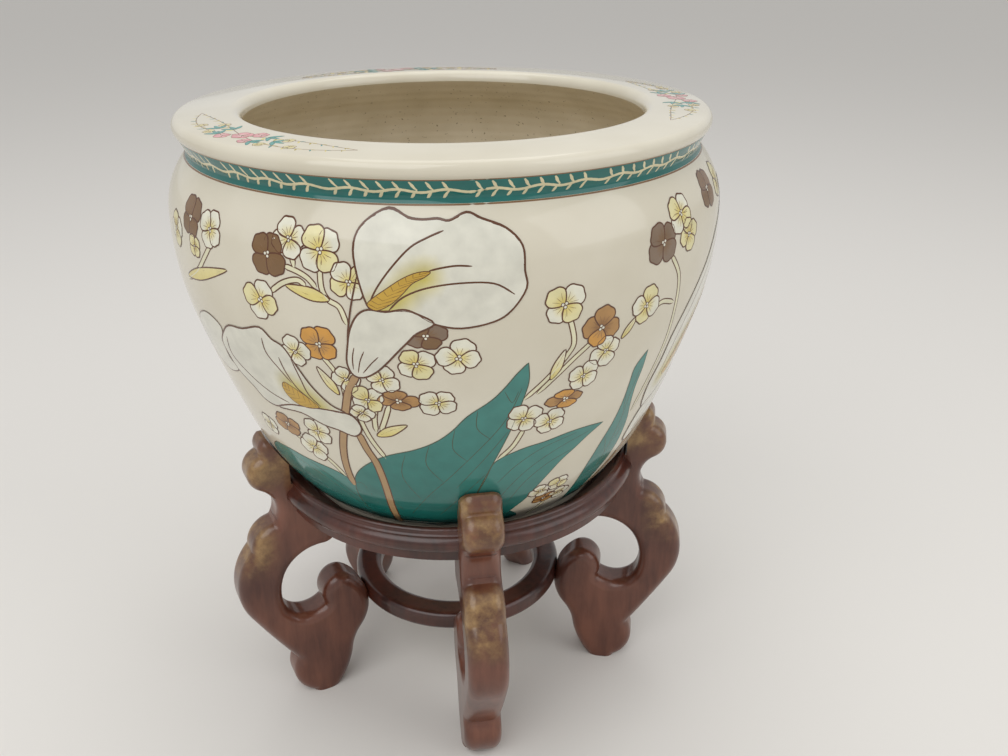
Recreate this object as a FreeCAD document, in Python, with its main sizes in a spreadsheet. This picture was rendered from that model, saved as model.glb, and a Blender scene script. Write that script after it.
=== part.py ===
"""Porcelain jardiniere on a turned and carved five-legged hardwood stand.

The origin is on the floor under the middle of the stand, +Z is up and one leg
stands towards -Y. Lengths are in millimetres. Reach is the distance from the
stand's upright axis, height is the distance up from a piece's own base plane.
"""
import FreeCAD, Part
import Sketcher
import math
import os

LEG_COUNT = 5
TURN = 360.0 / LEG_COUNT
FRONT = -90.0          # azimuth of the first leg, in degrees
TOLERANCE = 0.01       # places nearer than this are the same

# Single sizes
LENGTHS = {
    # seat ring, measured up from its underside
    "seat_height": 172.0,
    "seat_bore_radius": 98.0,
    "ledge_thickness": 8.0,
    "ledge_radius": 115.0,
    "apron_radius": 134.0,
    # bowl, measured up from the ledge
    "foot_radius": 112.0,
    "foot_width": 10.0,
    "foot_height": 4.0,
    "foot_recess": 6.0,
    "floor_thickness": 9.0,
    "wall_thickness": 9.0,
    # legs
    "leg_thickness": 28.0,
    "leg_rounding": 8.0,
    "crease_rounding": 1.5,
    "sole_outer_reach": 134.0,
    "sole_width": 23.0,
    "ear_inner_gap": 1.5,
    "ear_bowl_gap": 0.5,
    "housing_gap": 0.15,
    # lower ring
    "tie_underside": 70.0,
    "tie_thickness": 15.0,
    "tie_width": 20.5,
    "tie_bite": 6.5,
    "tie_rounding": 5.0,
    # fasteners
    "screw_radius": 2.0,
    "screw_head_radius": 4.0,
    "screw_head_depth": 2.4,
    "screw_tip": 4.0,
    "screw_slot_width": 1.0,
    "screw_slot_depth": 1.0,
    "screw_sink": 0.3,
    "tie_screw_sink": 0.8,
    "hole_spare": 0.5,
    "screw_gap": 0.05,
    "seat_screw_length": 30.0,
    "seat_screw_inset": 10.5,
    "seat_screw_spacing": 14.0,
    "tie_screw_length": 36.0,
    "dowel_radius": 3.0,
    "dowel_length": 30.0,
    "dowel_gap": 0.05,
    "dowel_inset": 9.0,
    "dowel_height": 10.0,
}

# Outline points as (reach, height)
POINTS = {
    # bowl, heights from the ledge
    "bowl_base": (125.3, 18.0),
    "bowl_flank": (154.0, 68.5),
    "bowl_side": (179.3, 144.0),
    "bowl_belly": (187.2, 213.0),
    "bowl_neck": (170.5, 249.0),
    "lip_under": (175.6, 260.5),
    "lip_edge": (178.0, 265.5),
    "lip_top": (174.0, 270.5),
    "mouth_top": (142.0, 272.0),
    "mouth_crest": (136.0, 270.2),
    "mouth_edge": (134.0, 264.5),
    "mouth_under": (144.0, 257.0),
    # seat ring's moulded edge, heights from its underside; reach beyond the apron
    "apron_top": (0.0, 6.5),
    "bead_low": (2.0, 8.0),
    "bead_nose": (6.0, 14.0),
    "bead_high": (2.0, 20.0),
    "cove": (0.6, 21.8),
    "rim_outer": (0.6, 23.6),
    "rim_crest": (-1.5, 25.0),
    "rim_inner": (-3.8, 23.6),
    "dish_groove": (-5.4, 22.4),
    "dish_inner": (-11.0, 19.0),
    # leg above the seat ring's underside; reach beyond the apron
    "knob_top": (16.5, 60.5),
    "knob_front": (20.5, 55.0),
    "knob_notch": (20.0, 48.0),
    "bulge_front": (30.0, 37.5),
    "bulge_under": (23.0, 21.0),
    # leg from the floor up; reach from the axis
    "neck_crease": (150.0, 163.0),
    "hood_front": (163.5, 155.0),
    "hood_crease": (168.0, 143.0),
    "tongue_under": (115.5, 135.5),
    "tongue_inner": (103.0, 150.0),
    # leg's outer side from the floor up; reach beyond the sole's outer end
    "knee_front": (47.0, 116.0),
    "knee_under": (41.0, 86.0),
    "heel": (9.0, 35.0),
    "toe_front": (13.0, 19.0),
    # leg's inner side from the floor up; reach beyond the sole's inner end
    "foot_inner": (-8.5, 15.0),
    "ankle": (-13.0, 31.0),
    "shank": (-21.0, 49.0),
    "scroll_crown": (-14.0, 100.5),
    "scroll_lip": (1.0, 100.5),
    "scroll_notch": (6.5, 80.0),
    "opening_floor": (22.5, 75.5),
    "opening_side": (37.5, 89.5),
    "opening_turn": (35.5, 116.5),
}


class Term:
    """A number together with the sheet expression that gives it."""

    def __init__(self, value, text):
        self.value = float(value)
        self.text = text

    def _with(self, other, sign, result):
        text = other.text if isinstance(other, Term) else repr(float(other))
        return Term(result, "(%s %s %s)" % (self.text, sign, text))

    def __add__(self, other):
        return self._with(other, "+", self.value + number(other))

    def __sub__(self, other):
        return self._with(other, "-", self.value - number(other))

    def __mul__(self, other):
        return self._with(other, "*", self.value * number(other))


def number(term):
    return term.value if isinstance(term, Term) else float(term)


ZERO = Term(0.0, "0")
UP = FreeCAD.Vector(0, 0, 1)
DOWN = FreeCAD.Vector(0, 0, -1)
OUT = FreeCAD.Vector(1, 0, 0)


def make_sheet(doc):
    """Write every size to the sheet and return the terms by name."""
    sheet = doc.addObject("Spreadsheet::Sheet", "sizes")
    cells = dict(LENGTHS)
    for name, (reach, height) in POINTS.items():
        cells[name + "_reach"] = reach
        cells[name + "_height"] = height
    terms = {}
    for row, (alias, value) in enumerate(cells.items(), start=1):
        sheet.set("A%d" % row, alias)
        sheet.set("B%d" % row, repr(value))
        sheet.setAlias("B%d" % row, alias)
        terms[alias] = Term(value, "sizes." + alias)
    doc.recompute()
    return terms


doc = FreeCAD.newDocument("jardiniere")
size = make_sheet(doc)


def point(name, reach=ZERO, height=ZERO):
    """A named outline point, moved by a further reach and height."""
    return reach + size[name + "_reach"], height + size[name + "_height"]


def bind(obj, path, term):
    obj.setExpression(path, term.text)


def origin_part(body, role):
    return next(item for item in body.Origin.OriginFeatures if item.Role == role)


def make_body(label):
    body = doc.addObject("PartDesign::Body", label)
    body.Label = label
    return body


class Outline:
    """A closed sketch whose corners and arcs are tied to the sheet."""

    def __init__(self, body, name, start, plane="XZ_Plane"):
        self.sketch = body.newObject("Sketcher::SketchObject", name)
        self.sketch.AttachmentSupport = (origin_part(body, plane), [""])
        self.sketch.MapMode = "FlatFace"
        self.start = start
        self.here = start
        self.first = None
        self.last = None
        self.heading = None

    def _vector(self, place):
        return FreeCAD.Vector(number(place[0]), number(place[1]), 0)

    def _pin(self, index, end, place):
        """Hold one vertex at a place given by two terms."""
        for kind, axis, term in (("DistanceX", -2, place[0]), ("DistanceY", -1, place[1])):
            if term is ZERO:
                self.sketch.addConstraint(Sketcher.Constraint("PointOnObject", index, end, axis))
                continue
            held = self.sketch.addConstraint(Sketcher.Constraint(kind, index, end, term.value))
            bind(self.sketch, "Constraints[%d]" % held, term)

    def _add(self, curve, place, tangent=False, closing=False):
        start = self._vector(self.here)
        index = self.sketch.addGeometry(curve, False)
        begins = self.sketch.getPoint(index, 1).distanceToPoint(start) < TOLERANCE
        near, far = (1, 2) if begins else (2, 1)
        if self.last is None:
            self.first = (index, near)
            self._pin(index, near, self.here)
        else:
            kind = "Tangent" if tangent else "Coincident"
            self.sketch.addConstraint(Sketcher.Constraint(kind, *self.last, index, near))
        if closing:
            self.sketch.addConstraint(Sketcher.Constraint("Coincident", index, far, *self.first))
        else:
            self._pin(index, far, place)
        self.last = (index, far)
        self.here = place
        return index

    def line(self, place):
        """A straight run to a place."""
        ends = self._vector(self.here), self._vector(place)
        self.heading = (ends[1] - ends[0]).normalize()
        self._add(Part.LineSegment(*ends), place)
        return self

    def arc(self, through, place):
        """A round run through one place to another."""
        ends = self._vector(self.here), self._vector(through), self._vector(place)
        index = self._add(Part.Arc(*ends), place)
        middle = self.sketch.addGeometry(Part.Point(ends[1]), True)
        self._pin(middle, 1, through)
        self.sketch.addConstraint(Sketcher.Constraint("PointOnObject", middle, 1, index))
        self._turn(ends[0], ends[1], ends[2])
        return self

    def flow(self, place):
        """A round run that goes on smoothly from the one before it."""
        start, end = self._vector(self.here), self._vector(place)
        side = FreeCAD.Vector(-self.heading.y, self.heading.x, 0)
        chord = end - start
        radius = chord.dot(chord) / (2 * side.dot(chord))
        centre = start + side * radius
        toward = (start + end) * 0.5 - centre
        middle = centre + toward.normalize() * abs(radius)
        self._add(Part.Arc(start, middle, end), place, tangent=True)
        self._turn(start, middle, end)
        return self

    def _turn(self, start, middle, end):
        """Set the heading at the end of an arc through three points."""
        circle = Part.Circle(start, middle, end)
        spoke = end - circle.Center
        heading = FreeCAD.Vector(-spoke.y, spoke.x, 0).normalize()
        if heading.dot(end - middle) < 0:
            heading = heading * -1
        self.heading = heading

    def close(self):
        """A straight run back to the start."""
        ends = self._vector(self.here), self._vector(self.start)
        self._add(Part.LineSegment(*ends), self.start, closing=True)
        if self.sketch.solve() != 0:
            raise RuntimeError("%s is not solved" % self.sketch.Name)
        return self.sketch


# --- features -------------------------------------------------------------


def revolve(body, name, kind, sketch, angle=360.0):
    """Turn a sketch about the body's upright axis, evenly to both sides."""
    feature = body.newObject("PartDesign::" + kind, name)
    feature.Profile = (sketch, [""])
    feature.ReferenceAxis = (sketch, ["V_Axis"])
    feature.Midplane = angle < 360.0
    feature.Angle = angle
    doc.recompute()
    return feature


def round_piece(body, name, action, start, axis, length, radius, mouth=None):
    """Add or cut a cylinder, or a cone that narrows from its mouth, along an axis."""
    kind = "Cylinder" if mouth is None else "Cone"
    piece = body.newObject("PartDesign::" + action + kind, name)
    put(piece, start, axis)
    if mouth is None:
        bind(piece, "Radius", radius)
    else:
        bind(piece, "Radius1", mouth)
        bind(piece, "Radius2", radius)
    bind(piece, "Height", length)


def put(piece, start, axis):
    """Place a primitive at a start with its own Z along an axis."""
    turn = FreeCAD.Rotation(UP, axis)
    piece.Placement = FreeCAD.Placement(FreeCAD.Vector(*(term.value for term in start)), turn)
    for path, term in zip("xyz", start):
        bind(piece, "Placement.Base." + path, term)
    return turn


def further(start, axis, distance):
    """The place at a distance from a start along an axis."""
    return tuple(term + distance * part for term, part in zip(start, axis))


def round_edges(body, name, feature, radius, wanted):
    """Fillet the edges of a feature for which wanted(edge) is true."""
    doc.recompute()
    names = ["Edge%d" % index for index, edge in enumerate(feature.Shape.Edges, start=1) if wanted(edge)]
    fillet = body.newObject("PartDesign::Fillet", name)
    fillet.Base = (feature, names)
    bind(fillet, "Radius", radius)
    doc.recompute()
    return fillet


def stand_at(body, azimuth, height=ZERO):
    """Turn a body about the stand's axis and lift it."""
    turn = FreeCAD.Rotation(FreeCAD.Vector(0, 0, 1), azimuth)
    body.Placement = FreeCAD.Placement(FreeCAD.Vector(0, 0, height.value), turn)
    if height is not ZERO:
        bind(body, "Placement.Base.z", height)


def heading(azimuth):
    """The level direction at an azimuth."""
    return FreeCAD.Vector(math.cos(math.radians(azimuth)), math.sin(math.radians(azimuth)), 0)


def stand_all(body, azimuth, height=ZERO):
    """Stand a body and its like pieces evenly about the stand's axis."""
    bodies = [body]
    for index in range(1, LEG_COUNT):
        twin = make_body(body.Label[:-1] + str(index + 1))
        base = twin.newObject("PartDesign::FeatureBase", twin.Label + "_copy")
        base.BaseFeature = body
        twin.Tip = base
        bodies.append(twin)
    for index, piece in enumerate(bodies):
        stand_at(piece, azimuth + TURN * index, height)
    return bodies


def polar(reach, azimuth, offset=ZERO):
    """A plan position at a reach and azimuth, moved sideways by an offset."""
    out = heading(azimuth)
    return reach * out.x - offset * out.y, reach * out.y + offset * out.x


# --- bowl -----------------------------------------------------------------

seat = size["seat_height"]
ledge = seat + size["ledge_thickness"]


def trace_bowl_side(outline, grow, base, last):
    """The bowl's outer side from its foot up to a named point."""
    outline.line((size["foot_radius"] + grow, base + size["foot_height"]))
    outline.arc(point("bowl_base", grow, base), point("bowl_flank", grow, base))
    for name in ("bowl_side", "bowl_belly", "bowl_neck"):
        outline.flow(point(name, grow, base))
        if name == last:
            break


def make_bowl():
    """One piece of porcelain: foot ring, belly, neck and broad flat lip."""
    body = make_body("bowl")
    wall = size["wall_thickness"]
    recess = size["foot_recess"]
    floor = recess + size["floor_thickness"]
    foot_inside = size["foot_radius"] - size["foot_width"]
    outline = Outline(body, "bowl_section", (ZERO, recess))
    outline.line((foot_inside, recess))
    outline.line((foot_inside, ZERO))
    outline.line((size["foot_radius"], ZERO))
    trace_bowl_side(outline, ZERO, ZERO, "bowl_neck")
    outline.line(point("lip_under"))
    outline.arc(point("lip_edge"), point("lip_top"))
    outline.line(point("mouth_top"))
    outline.arc(point("mouth_crest"), point("mouth_edge"))
    neck = point("bowl_neck")
    outline.arc(point("mouth_under"), (neck[0] - wall, neck[1] - wall * 0.5))
    for name in ("bowl_belly", "bowl_side", "bowl_flank"):
        place = point(name)
        outline.flow((place[0] - wall, place[1]))
    base = point("bowl_base")
    outline.flow((base[0] - wall * 1.4, base[1]))
    outline.line((base[0] - wall * 2.0, floor))
    outline.line((ZERO, floor))
    revolve(body, "bowl_turning", "Revolution", outline.close())
    stand_at(body, 0.0, ledge)
    return body


# --- seat ring ------------------------------------------------------------

apron = size["apron_radius"]
dowel_reach = apron - size["dowel_inset"]
dowel_hole = size["dowel_radius"] + size["dowel_gap"]
screw_reach = size["seat_bore_radius"] + size["seat_screw_inset"]
screw_side = size["seat_screw_spacing"] * 0.5
screw_hole = size["screw_radius"] + size["screw_gap"]
head_hole = size["screw_head_radius"] + size["screw_gap"]
tie_middle = size["tie_underside"] + size["tie_thickness"] * 0.5
sole = size["sole_outer_reach"]
sole_inner = sole - size["sole_width"]
tie_outer = sole_inner + size["shank_reach"] - size["tie_bite"]
tie_inner = tie_outer - size["tie_width"]


def trace_ring_edge(outline, grow, base):
    """The seat ring's moulded edge, from the apron's foot up to its rim."""
    reach = apron + grow
    outline.line((reach, base))
    outline.line(point("apron_top", reach, base))
    outline.line(point("bead_low", reach, base))
    outline.arc(point("bead_nose", reach, base), point("bead_high", reach, base))
    outline.arc(point("cove", reach, base), point("rim_outer", reach, base))


def make_ring_segments():
    """One fifth of the turned seat ring; its ends meet over two legs."""
    body = make_body("seat_ring_segment_1")
    thickness = size["ledge_thickness"]
    outline = Outline(body, body.Label + "_section", (size["seat_bore_radius"], ZERO))
    trace_ring_edge(outline, ZERO, ZERO)
    outline.arc(point("rim_crest", apron), point("rim_inner", apron))
    outline.line(point("dish_groove", apron))
    outline.line(point("dish_inner", apron))
    outline.line((size["ledge_radius"], thickness))
    outline.line((size["seat_bore_radius"], thickness))
    revolve(body, body.Label + "_turning", "Revolution", outline.close(), TURN)
    for side, sign in (("left", 1), ("right", -1)):
        name = "%s_%s_" % (body.Label, side)
        seam = sign * TURN / 2
        end = polar(dowel_reach, seam) + (size["dowel_height"],)
        depth = size["dowel_length"] * 0.5 + size["hole_spare"]
        round_piece(body, name + "dowel_hole", "Subtractive", end, heading(seam - sign * 90), depth, dowel_hole)
        spot = polar(screw_reach, seam, screw_side * -sign) + (thickness,)
        cut_screw_seat(body, name, spot, DOWN, thickness, size["screw_sink"])
    return stand_all(body, FRONT + TURN * 0.5, seat)


def cut_screw_seat(body, name, spot, axis, depth, sink):
    """A screw's hole and the taper for its head, which lies below the surface by a sink."""
    round_piece(body, name + "screw_hole", "Subtractive", spot, axis, depth, screw_hole)
    taper = size["screw_head_depth"] + sink
    mouth = head_hole + sink
    round_piece(body, name + "screw_taper", "Subtractive", spot, axis, taper, screw_hole, mouth)


# --- legs -----------------------------------------------------------------


def near(edge, place):
    """True where an edge's middle lies over a named outline point."""
    middle = edge.BoundBox.Center
    return math.hypot(middle.x - place[0].value, middle.z - place[1].value) < TOLERANCE * 5


def make_legs():
    """A flat board sawn to a scrolled outline and rounded along its edges."""
    body = make_body("leg_1")
    top = seat + size["knob_top_height"]
    creases = [point("knob_notch", apron, seat)]
    creases += [point("neck_crease"), point("hood_crease"), point("heel", sole)]
    creases += [point("scroll_notch", sole_inner)]
    outline = Outline(body, body.Label + "_outline", (size["tongue_inner_reach"], top))
    outline.line(point("knob_top", apron, seat))
    outline.arc(point("knob_front", apron, seat), point("knob_notch", apron, seat))
    outline.arc(point("bulge_front", apron, seat), point("bulge_under", apron, seat))
    outline.flow(point("neck_crease"))
    outline.arc(point("hood_front"), point("hood_crease"))
    outline.arc(point("knee_front", sole), point("knee_under", sole))
    outline.flow(point("heel", sole))
    outline.arc(point("toe_front", sole), (sole, ZERO))
    outline.line((sole_inner, ZERO))
    outline.arc(point("foot_inner", sole_inner), point("ankle", sole_inner))
    for name in ("shank", "scroll_crown", "scroll_lip", "scroll_notch"):
        outline.flow(point(name, sole_inner))
    outline.arc(point("opening_floor", sole_inner), point("opening_side", sole_inner))
    outline.flow(point("opening_turn", sole_inner))
    for name in ("tongue_under", "tongue_inner"):
        outline.flow(point(name))
    pad = body.newObject("PartDesign::Pad", body.Label + "_board")
    pad.Profile = (outline.close(), [""])
    pad.SideType = "Symmetric"
    bind(pad, "Length", size["leg_thickness"])
    doc.recompute()

    def is_crease(edge):
        return edge.BoundBox.YLength > 1 and any(near(edge, place) for place in creases)

    half = size["leg_thickness"].value / 2

    def is_rim(edge):
        box = edge.BoundBox
        on_face = abs(abs(box.Center.y) - half) < TOLERANCE
        return box.YLength < TOLERANCE and on_face and box.ZMax > TOLERANCE

    eased = round_edges(body, body.Label + "_creases", pad, size["crease_rounding"], is_crease)
    round_edges(body, body.Label + "_rounding", eased, size["leg_rounding"], is_rim)
    cut_leg(body)
    return stand_all(body, FRONT)


def cut_leg(body):
    """Cut the housings for the seat ring, the bowl and the lower ring, and the screw holes."""
    gap = size["housing_gap"]
    housing = Outline(body, body.Label + "_housing", (size["seat_bore_radius"], seat))
    trace_ring_edge(housing, gap, seat)
    ear = point("rim_outer", apron + gap + size["ear_inner_gap"], seat)
    clear = seat + size["knob_top_height"] + size["ear_inner_gap"]
    housing.line(ear)
    housing.line((ear[0], clear))
    housing.line((size["seat_bore_radius"], clear))
    revolve(body, body.Label + "_seat_housing", "Groove", housing.close())
    hollow = Outline(body, body.Label + "_hollow", (ZERO, ledge + size["foot_height"]))
    trace_bowl_side(hollow, size["ear_bowl_gap"], ledge, "bowl_side")
    hollow.line((ZERO, point("bowl_side", ZERO, ledge)[1]))
    revolve(body, body.Label + "_bowl_hollow", "Groove", hollow.close())
    low = size["tie_underside"] - gap
    high = size["tie_underside"] + size["tie_thickness"] + gap
    bed = Outline(body, body.Label + "_bed", (tie_inner, low))
    bed.line((tie_outer + gap, low))
    bed.line((tie_outer + gap, high))
    bed.line((tie_inner, high))
    revolve(body, body.Label + "_ring_bed", "Groove", bed.close())
    depth = size["seat_screw_length"] - size["ledge_thickness"] + size["hole_spare"] * 2
    for side, sign in (("left", 1), ("right", -1)):
        spot = (screw_reach, screw_side * sign, seat)
        round_piece(body, "%s_%s_hole" % (body.Label, side), "Subtractive", spot, DOWN, depth, screw_hole)
    start = (tie_inner + size["tie_screw_sink"], ZERO, tie_middle)
    depth = size["tie_screw_length"] + size["hole_spare"]
    round_piece(body, body.Label + "_tie_hole", "Subtractive", start, OUT, depth, screw_hole)


# --- lower ring -----------------------------------------------------------


def make_lower_ring():
    """The plain ring that ties the five scrolls together."""
    body = make_body("lower_ring")
    outline = Outline(body, "lower_ring_section", (tie_inner, ZERO))
    outline.line((tie_outer, ZERO))
    outline.line((tie_outer, size["tie_thickness"]))
    outline.line((tie_inner, size["tie_thickness"]))
    ring = revolve(body, "lower_ring_turning", "Revolution", outline.close())
    round_edges(body, "lower_ring_rounding", ring, size["tie_rounding"],
                lambda edge: edge.BoundBox.ZLength < TOLERANCE)
    for index in range(LEG_COUNT):
        azimuth = FRONT + TURN * index
        sink = size["tie_screw_sink"]
        spot = polar(tie_inner - sink, azimuth) + (size["tie_thickness"] * 0.5,)
        depth = tie_outer - tie_inner + sink * 2
        cut_screw_seat(body, "lower_ring_%d_" % (index + 1), spot, heading(azimuth), depth, sink * 2)
    stand_at(body, 0.0, size["tie_underside"])
    return body


# --- fasteners ------------------------------------------------------------


def add_screw(body, name, start, axis, length):
    """A slotted countersunk wood screw with its head at the start."""
    shank_start = further(start, axis, size["screw_head_depth"])
    shank = length - size["screw_head_depth"] - size["screw_tip"]
    tip_start = further(shank_start, axis, shank)
    thick = size["screw_radius"]
    round_piece(body, name + "_shank", "Additive", shank_start, axis, shank, thick)
    round_piece(body, name + "_head", "Additive", start, axis, size["screw_head_depth"],
                thick, size["screw_head_radius"])
    round_piece(body, name + "_tip", "Additive", tip_start, axis, size["screw_tip"], thick * 0.1, thick)
    slot = body.newObject("PartDesign::SubtractiveBox", name + "_slot")
    turn = FreeCAD.Rotation(UP, axis)
    span = size["screw_head_radius"] * 3
    corner = further(start, turn.multVec(FreeCAD.Vector(-1, 0, 0)), span * 0.5)
    corner = further(corner, turn.multVec(FreeCAD.Vector(0, -1, 0)), size["screw_slot_width"] * 0.5)
    put(slot, corner, axis)
    bind(slot, "Length", span)
    bind(slot, "Width", size["screw_slot_width"])
    bind(slot, "Height", size["screw_slot_depth"])


def make_seat_screws():
    """Two screws down through the ledge into each leg, either side of a seam."""
    body = make_body("seat_screws")
    body.AllowCompound = True
    for index in range(LEG_COUNT):
        for side, sign in (("left", 1), ("right", -1)):
            plan = polar(screw_reach, FRONT + TURN * index, screw_side * sign)
            start = plan + (ledge - size["screw_sink"],)
            add_screw(body, "seat_screw_%d_%s" % (index + 1, side), start, DOWN, size["seat_screw_length"])
    return body


def make_scroll_screws():
    """One screw outwards through the lower ring into each leg's scroll."""
    body = make_body("scroll_screws")
    body.AllowCompound = True
    for index in range(LEG_COUNT):
        azimuth = FRONT + TURN * index
        start = polar(tie_inner + size["tie_screw_sink"], azimuth) + (tie_middle,)
        add_screw(body, "scroll_screw_%d" % (index + 1), start, heading(azimuth), size["tie_screw_length"])
    return body


def make_dowels():
    """A dowel across each seam of the seat ring."""
    body = make_body("segment_dowels")
    body.AllowCompound = True
    half = size["dowel_length"] * 0.5
    for index in range(LEG_COUNT):
        azimuth = FRONT + TURN * index
        axis = heading(azimuth + 90)
        seam = polar(dowel_reach, azimuth) + (seat + size["dowel_height"],)
        start = further(seam, axis, half * -1)
        round_piece(body, "segment_dowel_%d" % (index + 1), "Additive", start, axis,
                    size["dowel_length"], size["dowel_radius"])
    return body


# --- the whole stand and its files ----------------------------------------

pieces = [make_bowl()] + make_ring_segments() + make_legs()
pieces += [make_lower_ring(), make_dowels(), make_seat_screws(), make_scroll_screws()]
doc.recompute()

faults = [item.Name for item in doc.Objects if "Invalid" in item.State or "Error" in item.State]
faults += [item.Label for item in pieces if item.Shape.isNull() or not item.Shape.isValid()]
if faults:
    raise RuntimeError("faulty: " + ", ".join(faults))

os.makedirs("parts", exist_ok=True)
for item in pieces:
    item.Shape.exportStep("parts/%s.step" % item.Label)
    print(item.Label, round(item.Shape.Volume), len(item.Shape.Solids))
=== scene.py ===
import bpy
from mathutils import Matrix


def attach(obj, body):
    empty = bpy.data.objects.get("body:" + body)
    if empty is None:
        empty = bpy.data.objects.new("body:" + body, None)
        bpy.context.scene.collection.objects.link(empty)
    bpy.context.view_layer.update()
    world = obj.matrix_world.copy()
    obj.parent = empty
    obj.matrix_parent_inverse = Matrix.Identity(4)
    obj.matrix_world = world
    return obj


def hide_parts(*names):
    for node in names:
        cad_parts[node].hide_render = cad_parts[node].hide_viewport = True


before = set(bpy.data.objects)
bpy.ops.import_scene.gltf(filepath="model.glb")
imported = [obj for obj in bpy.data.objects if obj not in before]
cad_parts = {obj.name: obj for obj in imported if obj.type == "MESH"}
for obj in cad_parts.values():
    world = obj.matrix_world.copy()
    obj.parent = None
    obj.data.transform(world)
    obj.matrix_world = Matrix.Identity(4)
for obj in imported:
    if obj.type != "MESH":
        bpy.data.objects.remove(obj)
"""Looks of the porcelain jardiniere on its hardwood stand.

The bowl is turned from its profile and painted with raised enamel: every
painted shape is a thin pad on the glaze, placed by azimuth and height. The
first leg stands at azimuth 0 and azimuths grow to the right of it.
"""
import math

import bpy
from mathutils import Vector
from mathutils.geometry import delaunay_2d_cdt

MM = 0.001
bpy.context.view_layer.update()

# --- the bowl's profile, in millimetres, as (reach, height) -----------------

LEDGE = 180.0
WALL = 9.0
FOOT_REACH = 112.0
FOOT_INNER = 102.0
FOOT_TOP = 184.0
RECESS = 186.0         # the height of the recess inside the foot ring
BASE = (125.3, 198.0)
FLANK = (154.0, 248.5)
SIDE = (179.3, 324.0)
BELLY = (187.2, 393.0)
NECK = (170.5, 429.0)
LIP_UNDER = (175.6, 440.5)
LIP_EDGE = (178.0, 445.5)
LIP_TOP = (174.0, 450.5)
MOUTH_TOP = (142.0, 452.0)
MOUTH_CREST = (136.0, 450.2)
MOUTH_EDGE = (134.0, 444.5)
MOUTH_UNDER = (144.0, 437.0)
FLOOR = 195.0
FLAT = 60.0            # the reach of a ring of edges across the flat floor and recess
HEEL_WALL = WALL * 1.4
ENAMEL = 0.55          # the glaze lies this far inside the solid, to leave room for the enamel

# how many straight steps an arc of the profile takes
SIDE_STEPS = 24
INSIDE_STEPS = 16
LIP_STEPS = 12
MOUTH_STEPS = 10


def arc(start, middle, end, steps):
    """Points of the arc through three points, without its start."""
    ax, ay = start
    bx, by = middle[0] - ax, middle[1] - ay
    cx, cy = end[0] - ax, end[1] - ay
    turn = 2 * (bx * cy - by * cx)
    ux = (cy * (bx * bx + by * by) - by * (cx * cx + cy * cy)) / turn
    uy = (bx * (cx * cx + cy * cy) - cx * (bx * bx + by * by)) / turn
    radius = math.hypot(ux, uy)
    first = math.atan2(-uy, -ux)
    sweep = (math.atan2(cy - uy, cx - ux) - first) % (2 * math.pi)
    through = (math.atan2(by - uy, bx - ux) - first) % (2 * math.pi)
    if through > sweep:
        sweep -= 2 * math.pi
    angles = [first + sweep * i / steps for i in range(1, steps + 1)]
    return [(ax + ux + radius * math.cos(a), ay + uy + radius * math.sin(a)) for a in angles]


def flow(points, end, steps):
    """The arc that goes on smoothly from the last two points to an end."""
    (px, py), (sx, sy) = points[-2], points[-1]
    length = math.hypot(sx - px, sy - py)
    nx, ny = -(sy - py) / length, (sx - px) / length
    cx, cy = end[0] - sx, end[1] - sy
    radius = (cx * cx + cy * cy) / (2 * (nx * cx + ny * cy))
    ox, oy = sx + nx * radius, sy + ny * radius
    mx, my = (sx + end[0]) / 2 - ox, (sy + end[1]) / 2 - oy
    stretch = abs(radius) / math.hypot(mx, my)
    return arc((sx, sy), (ox + mx * stretch, oy + my * stretch), end, steps)


def glazed(place):
    """A point of the solid's outside, brought in to the glaze."""
    return place[0] - ENAMEL, place[1]


def outer_profile():
    """The glazed outside, from the foot up over the lip to the mouth."""
    line = [(FOOT_REACH, LEDGE), (FOOT_REACH, FOOT_TOP)]
    line += arc(line[-1], glazed(BASE), glazed(FLANK), SIDE_STEPS)
    for place in (SIDE, BELLY, NECK):
        line += flow(line, glazed(place), SIDE_STEPS)
    line += [LIP_UNDER]
    line += arc(LIP_UNDER, LIP_EDGE, LIP_TOP, LIP_STEPS)
    line += [MOUTH_TOP]
    line += arc(MOUTH_TOP, MOUTH_CREST, MOUTH_EDGE, MOUTH_STEPS)
    return line


def inner_profile():
    """The unglazed inside, from the mouth down to the middle of the floor."""
    line = [MOUTH_EDGE]
    line += arc(MOUTH_EDGE, MOUTH_UNDER, (NECK[0] - WALL, NECK[1] - WALL * 0.5), LIP_STEPS)
    for place in (BELLY, SIDE, FLANK):
        line += flow(line, (place[0] - WALL, place[1]), INSIDE_STEPS)
    line += flow(line, (BASE[0] - HEEL_WALL, BASE[1]), MOUTH_STEPS)
    line += [(BASE[0] - WALL * 2, FLOOR), (FLAT, FLOOR), (0.0, FLOOR)]
    return line


def foot_profile():
    """The unglazed foot ring and the recess under the floor."""
    return [(0.0, RECESS), (FLAT, RECESS), (FOOT_INNER, RECESS), (FOOT_INNER, LEDGE), (FOOT_REACH, LEDGE)]


# --- meshes ------------------------------------------------------------------


def make_piece(name, vertices, faces, material, body, tints=None):
    """A smooth mesh piece that rides on a body, given in millimetres."""
    mesh = bpy.data.meshes.new(name)
    mesh.from_pydata([[c * MM for c in v] for v in vertices], [], faces)
    mesh.materials.append(material)
    mesh.polygons.foreach_set("use_smooth", [True] * len(mesh.polygons))
    if tints:
        layer = mesh.color_attributes.new("tint", "FLOAT_COLOR", "POINT")
        layer.data.foreach_set("color", [c for tint in tints for c in (*tint, 1.0)])
    mesh.update()
    piece = bpy.data.objects.new(name, mesh)
    bpy.context.scene.collection.objects.link(piece)
    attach(piece, body)
    return piece


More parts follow.
